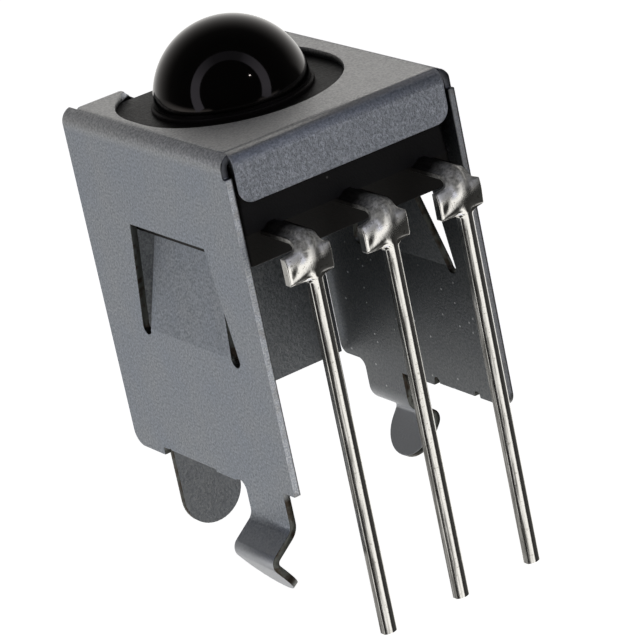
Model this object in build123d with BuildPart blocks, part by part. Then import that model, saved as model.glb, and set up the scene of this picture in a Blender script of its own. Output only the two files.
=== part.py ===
from build123d import *
import os
from math import atan2, cos, degrees, hypot, radians, sin

# Infrared receiver module: a black lensed moulding on three bent leads, held in a folded sheet-metal shield.
# Millimetres. The origin is on the board's top surface, in the middle plane of the case and the leads, level
# with the lens axis from front to back. +Z is up, and the front, where the leads come out, looks towards -Y.

# Shield sheet
sheet = 0.22
fold_inside = 0.20

# Shield case
case_width = 7.70
case_depth = 8.55
case_height = 10.45
axis_from_front = 5.00
seam = 0.12
fold_relief = 0.15
corner_notch = 0.14

# Round window in the top: it runs over the back fold. It stands a little left of the middle, as the lens does
window_clearance = 0.78
window_stretch = 0.60
window_behind_axis = 0.15
rear_notch_half_width = 1.77
rear_notch_depth = 0.80
lens_place = -0.20

# Front lip
lip_height = 1.50
lip_gap = 0.10
lip_corner = 0.45

# Bottom edges of the walls, with the marks where the tie bars were cut
left_trim = 0.25
right_trim = 0.10
back_trim = 0.10
front_trim = 0.42
foot_corner = 0.45
right_rear_corner = 0.30
leg_root = 0.28
left_foot_length = 1.60
right_foot_length = 4.85
tie_stub_height = 0.07
tie_stub_width = 1.15
tie_stub_from_front = 3.53
tie_notch = 0.25
tie_notch_height = 0.28
left_notch_from_front = 6.57
right_notches_from_front = (1.56, 3.55)

# Windows in the side walls, each with a tab pressed inward under the moulding
side_window_from_front = 3.94
side_window_top_width = 3.90
side_window_bottom_width = 5.10
side_window_margin = 0.40
side_slot = 0.42
side_slot_top = 0.36
tab_hinge = 4.20
tab_lean = 0.50
tab_fold = 0.60
tab_corner = 0.15

# Snap legs, kinked outward to grip the board
leg_width = 2.00
left_leg_from_front = 1.61
left_leg_drop = 0.75
right_leg_from_front = 6.38
right_leg_drop = 1.03
leg_kink_out = 0.92
leg_kink_drop = 0.72
leg_end_length = 1.62
leg_end_angle = 36
leg_fold = 0.35

# Straight tab of the back wall
back_tab_width = 2.00
back_tab_length = 3.34
back_tab_place = -1.855

# Moulding
mould_side_clearance = 0.13
mould_lip_clearance = 0.08
mould_back_clearance = 0.33
mould_height = 3.18
mould_draft = 3.2
mould_corner = 0.15
parting_depth = 2.23
lens_radius = 2.26
lens_rise = 2.15
collar_ledge = 0.09
collar_height = 0.13

# Leads
lead_pitch = 2.54
lead_sheet = 0.30
lead_reach = 1.78
lead_fold_inside = 0.20
lead_tip = 3.90
neck_width = 0.78
leg_strip_width = 0.44
wing_drop = 0.51
wing_height = 0.81
wing_left = 0.85
wing_right = 0.64
wing_fillet = 0.10

# Inner ends of the leads, sealed in the moulding
inner_setback = 0.75
contact_length = 1.20
contact_outer = 0.42
contact_inner = 0.72
pad_width = 2.80
pad_past_axis = 1.20

# Chips, their bond layers and the wires
diode_size = 1.50
diode_thickness = 0.30
chip_width = 1.20
chip_length = 0.90
chip_thickness = 0.25
chip_gap = 0.80
bond_layer = 0.03
bond_margin = 0.05
wire = 0.05
wire_loop = 0.35
wire_inset = 0.15
wire_bend = 0.12

# Levels and faces worked out from the sizes above
fold_outside = fold_inside + sheet
side_face = case_width / 2
case_front = -axis_from_front
case_back = case_front + case_depth
side_window_place = case_front + side_window_from_front
left_leg_place = case_front + left_leg_from_front
right_leg_place = case_front + right_leg_from_front
fold_line = case_height - fold_outside
fold_start = fold_line - sheet
inner_half = side_face - sheet
lip_half = inner_half - lip_gap
back_half = inner_half - seam
tab_bottom_half = side_window_bottom_width / 2 - side_slot
tab_top_half = side_window_top_width / 2 - side_slot_top

mould_top = case_height - sheet
mould_bottom = mould_top - mould_height
parting = mould_top - parting_depth
mould_half = inner_half - mould_side_clearance
mould_front = case_front + sheet + mould_lip_clearance
mould_back = case_back - sheet - mould_back_clearance
collar_radius = lens_radius + collar_ledge
window_radius = collar_radius + window_clearance
side_window_top = mould_bottom + side_window_margin

lead_top = parting + lead_sheet / 2
lead_face = mould_front - lead_reach
lead_fold_outside = lead_fold_inside + lead_sheet
wing_top = lead_top - wing_drop
wing_bottom = wing_top - wing_height
inner_front = mould_front + inner_setback
chip_front = -diode_size / 2 - chip_gap - chip_length
chip_middle = chip_front + chip_length / 2
diode_top = lead_top + bond_layer + diode_thickness
chip_top = lead_top + bond_layer + chip_thickness
wire_top = diode_top + wire_loop
contact_place = lead_pitch + (contact_outer - contact_inner) / 2
contact_middle = inner_front + contact_length / 2

os.makedirs("parts", exist_ok=True)


def area(low, high, mode=Mode.ADD):
    """Rectangle in the sketch that is open, given by its two opposite corners."""
    with Locations(low):
        Rectangle(high[0] - low[0], high[1] - low[1], align=(Align.MIN, Align.MIN), mode=mode)


def round_corner(corner, radius, toward):
    """Takes the corner of an outline off to a radius. toward points from the corner into the outline."""
    centre = (corner[0] + toward[0] * radius, corner[1] + toward[1] * radius)
    low = (min(corner[0], centre[0]), min(corner[1], centre[1]))
    high = (max(corner[0], centre[0]), max(corner[1], centre[1]))
    area(low, high, mode=Mode.SUBTRACT)
    with Locations(centre):
        Circle(radius)


def root_fillet(leg_back, level):
    """Fills the corner between a wall's bottom edge and the back edge of its leg to a radius."""
    area((leg_back - leg_root, level - leg_root), (leg_back + leg_root, level))
    with Locations((leg_back + leg_root, level - leg_root)):
        Circle(leg_root, mode=Mode.SUBTRACT)


def notch(from_front):
    """Round-topped nick in a wall's bottom edge, where a tie bar was cut."""
    place = case_front + from_front
    top = tie_notch_height - tie_notch / 2
    area((place - tie_notch / 2, 0), (place + tie_notch / 2, top), mode=Mode.SUBTRACT)
    with Locations((place, top)):
        Circle(tie_notch / 2, mode=Mode.SUBTRACT)


# Tab of the right side window: a short run of the wall, a gentle fold, and the leaning end
with BuildPart() as window_tab:
    with BuildSketch(Plane.XZ.offset(-side_window_place)):
        with BuildLine():
            FilletPolyline(
                (side_face, tab_hinge - tab_fold),
                (side_face, tab_hinge),
                (side_face - tab_lean, mould_bottom),
                radius=tab_fold,
            )
            offset(amount=sheet, side=Side.LEFT)
        make_face()
    extrude(amount=tab_bottom_half, both=True)
    with BuildSketch(Plane.YZ) as tab_outline:
        with BuildLine():
            Polyline(
                (side_window_place - tab_bottom_half, tab_hinge - tab_fold),
                (side_window_place - tab_bottom_half, tab_hinge),
                (side_window_place - tab_top_half, mould_bottom),
                (side_window_place + tab_top_half, mould_bottom),
                (side_window_place + tab_bottom_half, tab_hinge),
                (side_window_place + tab_bottom_half, tab_hinge - tab_fold),
                close=True,
            )
        make_face()
        fillet(tab_outline.vertices().group_by(Axis.Y)[-1], radius=tab_corner)
    extrude(amount=side_face, mode=Mode.INTERSECT)


def snap_leg(place, drop):
    """Leg of the right wall: down, outward, and back inward to a round end."""
    kink = -drop - leg_kink_drop
    end_out = side_face + leg_kink_out - leg_end_length * sin(radians(leg_end_angle))
    end_level = kink - leg_end_length * cos(radians(leg_end_angle))
    with BuildPart() as leg:
        with BuildSketch(Plane.XZ.offset(-place)):
            with BuildLine():
                FilletPolyline(
                    (side_face, foot_corner),
                    (side_face, -drop),
                    (side_face + leg_kink_out, kink),
                    (end_out, end_level),
                    radius=leg_fold,
                )
                offset(amount=sheet, side=Side.RIGHT)
            make_face()
        extrude(amount=leg_width / 2, both=True)
        end_face = leg.faces().sort_by(Axis.Z)[0]
        end_edges = end_face.edges().filter_by(Axis.Y, reverse=True)
        fillet(end_edges, radius=leg_width / 2 - sheet / 10)
    return leg.part


left_leg = mirror(snap_leg(left_leg_place, left_leg_drop), about=Plane.YZ)
right_leg = snap_leg(right_leg_place, right_leg_drop)

# Shield case: flats cut to their outlines and joined by the folds
with BuildPart() as shield_case:
    # Top with the folds of both side walls
    with BuildSketch(Plane.XZ.offset(-case_back)):
        with BuildLine():
            FilletPolyline(
                (-side_face, fold_start),
                (-side_face, case_height),
                (side_face, case_height),
                (side_face, fold_start),
                radius=fold_outside,
            )
            offset(amount=sheet, side=Side.RIGHT)
        make_face()
    extrude(amount=case_depth)

    # The top ends where the folds of the lip and the back wall begin
    with BuildSketch(Plane.XY.offset(case_height)):
        area((-lip_half, case_front), (lip_half, case_front + fold_outside))
        area((-back_half, case_back - fold_outside), (back_half, case_back))
    extrude(amount=-fold_outside, mode=Mode.SUBTRACT)

    # Fold of the back wall, with a relief slit at each end
    with BuildSketch(Plane.YZ):
        with BuildLine():
            FilletPolyline(
                (case_back - fold_outside - sheet, case_height),
                (case_back, case_height),
                (case_back, fold_start),
                radius=fold_outside,
            )
            offset(amount=sheet, side=Side.RIGHT)
        make_face()
    extrude(amount=back_half - fold_relief, both=True)

    # Fold of the front lip
    with BuildSketch(Plane.YZ):
        with BuildLine():
            FilletPolyline(
                (case_front + fold_outside + sheet, case_height),
                (case_front, case_height),
                (case_front, fold_start),
                radius=fold_outside,
            )
            offset(amount=sheet, side=Side.LEFT)
        make_face()
    extrude(amount=lip_half, both=True)

    # Flat of the lip
    with BuildSketch(Plane.XZ.offset(-case_front)) as lip_outline:
        area((-lip_half, case_height - lip_height), (lip_half, fold_line))
        fillet(lip_outline.vertices().group_by(Axis.Y)[0], radius=lip_corner)
    extrude(amount=-sheet)

    # Flat of the back wall with its straight tab
    with BuildSketch(Plane.XZ.offset(-case_back)):
        area((-back_half, back_trim), (back_half, fold_line))
        tab_end = back_tab_width / 2 - back_tab_length
        area((back_tab_place - back_tab_width / 2, tab_end), (back_tab_place + back_tab_width / 2, back_trim))
        with Locations((back_tab_place, tab_end)):
            Circle(back_tab_width / 2)
    extrude(amount=sheet)

    # Flat of the left wall: a foot at the back, a cut-off tie, and room beside the leg
    with BuildSketch(Plane.YZ.offset(-side_face)):
        area((case_front, 0), (case_back, fold_line))
        left_leg_front = left_leg_place - leg_width / 2
        left_leg_back = left_leg_place + leg_width / 2
        area((left_leg_back, 0), (case_back - left_foot_length, left_trim), mode=Mode.SUBTRACT)
        area((case_front, 0), (left_leg_front, front_trim), mode=Mode.SUBTRACT)
        with Locations((case_front + tie_stub_from_front, left_trim)):
            Rectangle(tie_stub_width, tie_stub_height, align=(Align.CENTER, Align.MAX))
        root_fillet(left_leg_back, left_trim)
        round_corner((case_back, 0), foot_corner, (-1, 1))
        notch(left_notch_from_front)
    extrude(amount=sheet)
    add(left_leg)

    # Flat of the right wall: one long foot round the leg, and two nicks
    with BuildSketch(Plane.YZ.offset(side_face)):
        area((case_front, 0), (case_back, fold_line))
        area((case_front, 0), (case_back - right_foot_length, right_trim), mode=Mode.SUBTRACT)
        root_fillet(right_leg_place + leg_width / 2, 0)
        round_corner((case_front, right_trim), foot_corner, (1, 1))
        round_corner((case_back, 0), right_rear_corner, (-1, 1))
        for from_front in right_notches_from_front:
            notch(from_front)
    extrude(amount=-sheet)
    add(right_leg)

    # Side windows, alike on both walls: a trapezoid with a round slot end on each side of the tab's root
    with BuildSketch(Plane.YZ):
        with BuildLine():
            Polyline(
                (side_window_place - side_window_bottom_width / 2, tab_hinge),
                (side_window_place - side_window_top_width / 2, side_window_top),
                (side_window_place + side_window_top_width / 2, side_window_top),
                (side_window_place + side_window_bottom_width / 2, tab_hinge),
                close=True,
            )
        make_face()
        slot_middle = (side_window_bottom_width - side_slot) / 2
        with Locations((side_window_place - slot_middle, tab_hinge), (side_window_place + slot_middle, tab_hinge)):
            Circle(side_slot / 2)
    extrude(amount=side_face, both=True, mode=Mode.SUBTRACT)
    add(window_tab.part)
    mirror(window_tab.part, about=Plane.YZ)

    # Round window, stretched to the rear so that it runs over the back fold
    with BuildSketch(Plane.XY.offset(case_height)):
        with Locations((lens_place, window_behind_axis)):
            SlotCenterToCenter(window_stretch, 2 * window_radius, rotation=90)
    extrude(amount=-fold_outside, mode=Mode.SUBTRACT)

    # The round window goes on down the back fold and wall as a shallow arc
    notch_radius = (rear_notch_half_width**2 + rear_notch_depth**2) / (2 * rear_notch_depth)
    notch_start = window_behind_axis + window_stretch / 2
    notch_start += (window_radius**2 - rear_notch_half_width**2) ** 0.5
    with BuildSketch(Plane.XZ.offset(-case_back)):
        with Locations((lens_place, case_height - rear_notch_depth + notch_radius)):
            Circle(notch_radius)
    extrude(amount=case_back - notch_start, mode=Mode.SUBTRACT)

    # Notch between the lip's fold and each side fold
    with BuildSketch(Plane.XY.offset(case_height)):
        area((lip_half, case_front), (side_face, case_front + corner_notch))
        area((-side_face, case_front), (-lip_half, case_front + corner_notch))
    extrude(amount=-fold_outside - sheet, mode=Mode.SUBTRACT)

shield_case.part.label = "shield_case"
export_step(shield_case.part, "parts/shield_case.step")


def outer_lead(place):
    """Neck, fold, dam-bar wing and leg of one lead: the part that shows outside the moulding."""
    with BuildPart() as lead:
        with BuildSketch(Plane.YZ.offset(place)):
            with BuildLine():
                FilletPolyline(
                    (inner_front, lead_top),
                    (lead_face, lead_top),
                    (lead_face, wing_top - wing_fillet),
                    radius=lead_fold_outside,
                )
                offset(amount=lead_sheet, side=Side.LEFT)
            make_face()
        extrude(amount=neck_width / 2, both=True)
        with BuildSketch(Plane.XZ.offset(-lead_face)) as front_outline:
            area((place - wing_left, wing_bottom), (place + wing_right, wing_top))
            area((place - leg_strip_width / 2, -lead_tip), (place + leg_strip_width / 2, wing_bottom))
            inner_corners = front_outline.vertices().filter_by_position(
                Axis.X, place - leg_strip_width / 2, place + leg_strip_width / 2
            )
            fillet(inner_corners.filter_by_position(Axis.Y, wing_bottom, wing_bottom), radius=wing_fillet)
        extrude(amount=-lead_sheet)
    return lead.part


output_outer = outer_lead(-lead_pitch)
ground_outer = outer_lead(0)
supply_outer = outer_lead(lead_pitch)

# Output lead: inside, it widens to a contact for its wire
with BuildPart() as output_lead:
    add(output_outer)
    with BuildSketch(Plane.XY.offset(lead_top)):
        area(
            (-lead_pitch - contact_outer, inner_front),
            (-lead_pitch + contact_inner, inner_front + contact_length),
        )
    extrude(amount=-lead_sheet)

output_lead.part.label = "output_lead"
export_step(output_lead.part, "parts/output_lead.step")

# Supply lead: the same on the other side
with BuildPart() as supply_lead:
    add(supply_outer)
    with BuildSketch(Plane.XY.offset(lead_top)):
        area(
            (lead_pitch - contact_inner, inner_front),
            (lead_pitch + contact_outer, inner_front + contact_length),
        )
    extrude(amount=-lead_sheet)

supply_lead.part.label = "supply_lead"
export_step(supply_lead.part, "parts/supply_lead.step")

# Ground lead: inside, it carries the pad for both chips
with BuildPart() as ground_lead:
    add(ground_outer)
    with BuildSketch(Plane.XY.offset(lead_top)):
        area((-pad_width / 2, inner_front), (pad_width / 2, pad_past_axis))
    extrude(amount=-lead_sheet)

ground_lead.part.label = "ground_lead"
export_step(ground_lead.part, "parts/ground_lead.step")

# Bond layers
with BuildPart() as photodiode_die_attach:
    with BuildSketch(Plane.XY.offset(lead_top)):
        with Locations((lens_place, 0)):
            Rectangle(diode_size + 2 * bond_margin, diode_size + 2 * bond_margin)
    extrude(amount=bond_layer)

photodiode_die_attach.part.label = "photodiode_die_attach"
export_step(photodiode_die_attach.part, "parts/photodiode_die_attach.step")

with BuildPart() as ic_die_attach:
    with BuildSketch(Plane.XY.offset(lead_top)):
        with Locations((0, chip_middle)):
            Rectangle(chip_width + 2 * bond_margin, chip_length + 2 * bond_margin)
    extrude(amount=bond_layer)

ic_die_attach.part.label = "ic_die_attach"
export_step(ic_die_attach.part, "parts/ic_die_attach.step")

# Photodiode chip, on the lens axis
with BuildPart() as photodiode_chip:
    with BuildSketch(Plane.XY.offset(lead_top + bond_layer)):
        with Locations((lens_place, 0)):
            Rectangle(diode_size, diode_size)
    extrude(amount=diode_thickness)

photodiode_chip.part.label = "photodiode_chip"
export_step(photodiode_chip.part, "parts/photodiode_chip.step")

# Receiver chip, in front of the photodiode
with BuildPart() as receiver_ic_chip:
    with BuildSketch(Plane.XY.offset(lead_top + bond_layer)):
        with Locations((0, chip_middle)):
            Rectangle(chip_width, chip_length)
    extrude(amount=chip_thickness)

receiver_ic_chip.part.label = "receiver_ic_chip"
export_step(receiver_ic_chip.part, "parts/receiver_ic_chip.step")


def bond_wire(start, end):
    """Looped wire from one bond to another, each a point on the face that it is bonded to."""
    run = hypot(end[0] - start[0], end[1] - start[1])
    along = ((end[0] - start[0]) / run, (end[1] - start[1]) / run, 0)
    upright = Plane(origin=(start[0], start[1], 0), x_dir=along, z_dir=(along[1], -along[0], 0))
    with BuildPart() as loop:
        with BuildSketch(upright):
            with BuildLine():
                FilletPolyline((0, start[2]), (0, wire_top), (run, wire_top), (run, end[2]), radius=wire_bend)
                offset(amount=wire, side=Side.RIGHT)
            make_face()
        extrude(amount=wire / 2, both=True)
    return loop.part


bonds = {
    "bond_wire_photodiode": (
        (wire_inset, -diode_size / 2 + wire_inset, diode_top),
        (wire_inset, chip_front + chip_length - wire_inset, chip_top),
    ),
    "bond_wire_ground": (
        (-wire_inset, chip_front + wire_inset, chip_top),
        (-wire_inset, (chip_front + inner_front) / 2, lead_top),
    ),
    "bond_wire_output": (
        (-chip_width / 2 + wire_inset, chip_middle, chip_top),
        (-contact_place, contact_middle, lead_top),
    ),
    "bond_wire_supply": (
        (chip_width / 2 - wire_inset, chip_middle, chip_top),
        (contact_place, contact_middle, lead_top),
    ),
}

wires = []
for name, (start, end) in bonds.items():
    piece = bond_wire(start, end)
    piece.label = name
    export_step(piece, f"parts/{name}.step")
    wires.append(piece)

# Moulding: a block drafted both ways from its parting line, the ball lens on its collar, and the lead frame,
# chips and wires sealed in it
with BuildPart() as moulded_package:
    mould_size = (2 * mould_half, mould_back - mould_front)
    mould_middle = (0, (mould_front + mould_back) / 2)
    for direction, height in ((1, mould_top - parting), (-1, parting - mould_bottom)):
        with BuildSketch(Plane.XY.offset(parting)):
            with Locations(mould_middle):
                RectangleRounded(*mould_size, mould_corner)
        extrude(amount=height, dir=(0, 0, direction), taper=mould_draft)
    lens_axis = Axis((lens_place, 0, 0), (0, 0, 1))
    with BuildSketch(Plane.XZ.move(Location((lens_place, 0, 0)))):
        with BuildLine():
            lens_top = mould_top + lens_rise + collar_height
            lens_centre = lens_top - lens_radius
            collar_top = mould_top + collar_height
            lens_foot = (lens_radius**2 - (collar_top - lens_centre) ** 2) ** 0.5
            rise_angle = degrees(atan2(collar_top - lens_centre, lens_foot))
            Polyline((0, parting), (collar_radius, parting), (collar_radius, collar_top), (lens_foot, collar_top))
            CenterArc((0, lens_centre), lens_radius, rise_angle, 90 - rise_angle)
            Line((0, lens_top), (0, parting))
        make_face()
    revolve(axis=lens_axis)
    sealed = [output_lead, ground_lead, supply_lead, photodiode_die_attach, ic_die_attach]
    for piece in sealed + [photodiode_chip, receiver_ic_chip]:
        add(piece.part, mode=Mode.SUBTRACT)
    for piece in wires:
        add(piece, mode=Mode.SUBTRACT)

moulded_package.part.label = "moulded_package"
export_step(moulded_package.part, "parts/moulded_package.step")
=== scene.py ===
# %% [markdown]
# # Infrared receiver module
# A black epoxy block with a ball lens sits in a folded steel shield, and three tinned leads come
# out of its front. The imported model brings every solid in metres, in its final place. This lesson
# gives those solids the rounded edges, the swept leads and the finishes that the real part has.
# Most of its sizes are tenths of a millimetre, so a length is written in millimetres, and times MM
# where Blender needs metres.

from functools import partial
from math import cos, pi, radians, sin

import bmesh
import bpy
from mathutils import Matrix, Vector
from mathutils.bvhtree import BVHTree
from mathutils.kdtree import KDTree


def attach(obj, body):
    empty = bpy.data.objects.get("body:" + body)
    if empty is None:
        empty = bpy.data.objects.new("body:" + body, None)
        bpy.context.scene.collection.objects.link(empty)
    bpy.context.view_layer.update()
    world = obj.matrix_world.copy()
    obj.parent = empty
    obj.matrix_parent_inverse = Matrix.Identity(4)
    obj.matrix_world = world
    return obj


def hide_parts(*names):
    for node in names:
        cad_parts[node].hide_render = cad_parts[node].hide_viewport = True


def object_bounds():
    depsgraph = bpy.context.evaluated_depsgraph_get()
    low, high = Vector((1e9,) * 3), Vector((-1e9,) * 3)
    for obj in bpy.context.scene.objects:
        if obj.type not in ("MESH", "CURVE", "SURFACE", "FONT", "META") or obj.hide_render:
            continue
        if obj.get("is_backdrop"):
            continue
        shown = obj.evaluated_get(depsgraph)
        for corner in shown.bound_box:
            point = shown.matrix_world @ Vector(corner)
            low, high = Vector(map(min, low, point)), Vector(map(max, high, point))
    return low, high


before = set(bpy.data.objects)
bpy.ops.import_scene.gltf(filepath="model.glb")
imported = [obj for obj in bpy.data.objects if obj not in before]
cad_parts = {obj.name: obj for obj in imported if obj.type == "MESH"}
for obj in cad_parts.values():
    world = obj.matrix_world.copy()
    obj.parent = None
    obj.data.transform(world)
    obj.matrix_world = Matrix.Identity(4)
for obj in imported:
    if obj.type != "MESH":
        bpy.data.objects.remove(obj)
cad_low, cad_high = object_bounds()
MM = 0.001
scene = bpy.context.scene
print("solids loaded:", len(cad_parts))

# %% [markdown]
# ## The camera
# The photograph was taken from the front left, a little above the part and slightly tilted. The
# place and the three directions below come from fitting a pinhole camera to corners of the part,
# with the 2.54 mm pitch of the leads as the scale. Placing it by eye would do for a pretty
# picture, but with a fitted camera the render can be laid over the photograph. A long lens keeps
# the perspective gentle.

# %% Camera
CAMERA_PLACE = Vector((-49.328, -86.368, 40.857)) * MM
CAMERA_RIGHT = Vector((0.807802, -0.556559, -0.194162))
CAMERA_DOWN = Vector((-0.354716, -0.195905, -0.914220))
CAMERA_AHEAD = Vector((0.470780, 0.807381, -0.355673))
SENSOR = 36.0
FOCAL_PIXELS = 3694.91
IMAGE_PIXELS = 640

camera_data = bpy.data.cameras.new("camera")
camera_data.sensor_width = SENSOR
camera_data.lens = FOCAL_PIXELS * SENSOR / IMAGE_PIXELS
camera_data.clip_start = 1 * MM
camera_data.clip_end = 10.0
camera = bpy.data.objects.new("camera", camera_data)
camera.matrix_world = Matrix.Translation(CAMERA_PLACE) @ Matrix(
    (CAMERA_RIGHT, -CAMERA_DOWN, -CAMERA_AHEAD)
).transposed().to_4x4()
scene.collection.objects.link(camera)
scene.camera = camera
print("lens in mm:", round(camera_data.lens, 1))

# %% [markdown]
# ## Colours
# Colours are picked as sRGB hex values, which a screen shows, while the shader wants linear light.
# One function turns them.


# %% From hex to linear
def linear(hex_colour):
    """An sRGB hex colour as linear RGBA."""
    parts = [int(hex_colour[i:i + 2], 16) / 255 for i in (1, 3, 5)]
    return (*[p / 12.92 if p <= 0.04045 else ((p + 0.055) / 1.055) ** 2.4 for p in parts], 1.0)


print("middle grey in linear light:", round(linear("#808080")[0], 3))

# %% [markdown]
# ## Nodes
# Materials, the room and two of the pieces are node trees. One function adds any node, so each
# step reads as a short line: the kind of node, what goes into it, and its settings. The kinds that
# come back most often get a short name.

# %% One function that adds a node
MATH, RANGE, MIX = "ShaderNodeMath", "ShaderNodeMapRange", "ShaderNodeMix"
NOISE, VECTOR, BUMP = "ShaderNodeTexNoise", "ShaderNodeVectorMath", "ShaderNodeBump"
SPLIT, JOIN = "ShaderNodeSeparateXYZ", "ShaderNodeCombineXYZ"
SHADER, OUTPUT = "ShaderNodeBsdfPrincipled", "ShaderNodeOutputMaterial"
# Noise stays near 0.5. These are the ranges that most, or the middle, of its values lie in.
MOST, MIDDLE = (0.3, 0.7), (0.35, 0.65)


def add_node(tree, kind, *inputs, **named):
    """Adds a node with its settings and links, and returns it.

    Names in small letters are settings, such as operation. Other names are inputs, and inputs
    without a name follow the order in which the node shows them. An input is a number, a tuple, a
    hex colour, a socket, or a node, which stands for its first output. A list links several nodes
    to one input. A node that captures attributes gets a new input for each name.
    """
    node = tree.nodes.new(kind)
    for name, value in named.items():
        if name.islower():
            setattr(node, name, value)
        elif hasattr(node, "capture_items"):
            node.capture_items.new("VECTOR", name)
    pairs = list(zip([socket for socket in node.inputs if socket.enabled], inputs))
    for name, value in named.items():
        if not name.islower():
            pairs.append((node.inputs[name.replace("_", " ")], value))
    for socket, values in pairs:
        for value in values if isinstance(values, list) else [values]:
            if isinstance(value, bpy.types.Node):
                value = next(output for output in value.outputs if output.enabled)
            if isinstance(value, bpy.types.NodeSocket):
                tree.links.new(value, socket)
            else:
                socket.default_value = linear(value) if isinstance(value, str) else value
    return node


def clear_tree(owner):
    """Empties the tree of a material or the world, and gives add_node bound to it."""
    owner.use_nodes = True
    owner.node_tree.nodes.clear()
    return partial(add_node, owner.node_tree)


def start_material(name):
    """A new material, add_node bound to it, and the place on the piece in millimetres."""
    material = bpy.data.materials.new(name)
    add = clear_tree(material)
    place = add(VECTOR, add("ShaderNodeTexCoord").outputs["Object"], 1 / MM, operation="SCALE")
    return material, add, place


print("kinds with a short name:", MATH, RANGE, MIX, NOISE, VECTOR, BUMP, SPLIT, JOIN, SHADER)

# %% [markdown]
# ## Plated steel sheet
# The shield is cold-rolled steel with a matt tin plating. Tin that isn't melted after plating is a
# dull grey with a fine, sandy grain, and cloudy patches where the bath was uneven. It's a metal,
# so the colour is in the reflection and the default IOR stays. The real grain is a few hundredths
# of a millimetre. It is drawn a little coarser, so that it shows at this distance. A picture of
# tin could be wrapped round the sheet instead, but noise in space has no seam at the folds and
# never repeats.
#
# The tone isn't the same everywhere. The side folds are stretched, which makes them rougher, and
# the top and the folds are painted lighter, as light. The front lip shows its grain most and gets
# painted glints, and the feet are painted lighter, as light from the table. Each zone is a share
# from 0 to 1 that depends only on the place on the sheet, so it stays put in every view.

# %% Zones of the sheet
# Each zone fades in or out over a range of places in millimetres.
LIP_X, LIP_Y, LIP_Z = (3.5, 3.6), (-4.4, -4.85), (10.3, 10.1)
TOP_Z = (10.3, 10.4)
FOLD_X, FOLD_Z = (3.4, 3.55), (9.85, 10.2)
NEAR_BOARD_Z, UNDER_BOARD_Z, BEFORE_BACK_Y = (3.5, -0.5), (-0.7, -1.5), (2.8, 3.2)
LOW_Z, LOW_BEFORE_BACK_Y = (5.0, 3.0), (2.9, 3.2)
FOLD_SHARE, LEG_SHARE, BACK_SHARE = 0.9, 0.9, 0.3


def sheet_zones(add, place, painted_light_near_board):
    """Shares of the lip, the top, the side folds, the feet, and the low inside, at a place."""
    axes = add(SPLIT, place).outputs
    from_middle = add(MATH, axes["X"], operation="ABSOLUTE")
    lip_in_y = add(RANGE, axes["Y"], *LIP_Y)
    lip_in_z = add(RANGE, axes["Z"], *LIP_Z)
    lip_in_x = add(RANGE, from_middle, *LIP_X, 1.0, 0.0)
    lip = add(MATH, lip_in_y, lip_in_z, operation="MULTIPLY")
    lip = add(MATH, lip, lip_in_x, operation="MULTIPLY")
    top = add(RANGE, axes["Z"], *TOP_Z)
    fold_in_x = add(RANGE, from_middle, *FOLD_X)
    fold_in_z = add(RANGE, axes["Z"], *FOLD_Z, 0.0, FOLD_SHARE)
    fold = add(MATH, fold_in_x, fold_in_z, operation="MULTIPLY")
    # Painted light from the table: the legs below the board, and a share of it on the walls near the
    # board.
    near_board = add(RANGE, axes["Z"], *NEAR_BOARD_Z, 0.0, painted_light_near_board)
    under_board = add(RANGE, axes["Z"], *UNDER_BOARD_Z, 0.0, LEG_SHARE)
    before_back = add(RANGE, axes["Y"], *BEFORE_BACK_Y, 1.0, 0.0)
    leg = add(MATH, under_board, before_back, operation="MULTIPLY")
    foot = add(MATH, near_board, leg, operation="ADD")
    off_back = add(RANGE, axes["Y"], *LOW_BEFORE_BACK_Y, 1.0, BACK_SHARE)
    low = add(MATH, add(RANGE, axes["Z"], *LOW_Z), off_back, operation="MULTIPLY")
    return lip, top, fold, foot, low


print("zones: lip, top, side folds, feet, low inside")

# %% Matt tin plating on the outer side of the sheet, and the same plating painted darker as shade on the inner side
GRAIN = 0.07
GRAIN_SPREAD = (0.34, 0.66)
GRAIN_DEPTH = 0.014
CLOUD = 1.6
# Painted light: the top, the side folds and the feet get lighter tones, and the lip gets painted
# glints.
TOP_PAINTED_LIGHT_TONES = ("#dcdcdc", "#f6f6f5")
FOLD_PAINTED_LIGHT_TONES = ("#d6d7d6", "#fdfdfc")
LIP_TONES = ("#a2a7b0", "#d2d7e0")
FOOT_PAINTED_LIGHT_TONE, PAINTED_GLINT_TONE, DUST_TONE = "#dcdfe4", "#eceff5", "#f4f5f6"
PAINTED_GLINTS, PAINTED_GLINT_SHARE = (0.56, 0.68), 0.45
DUST_CELL, DUST_SIZE = 0.33, (0.07, 0.12)
ROUGH_DARK, ROUGH_LIGHT = 0.55, 0.44
TOP_ROUGHER, FOLD_ROUGHER = 0.06, 0.3


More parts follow.
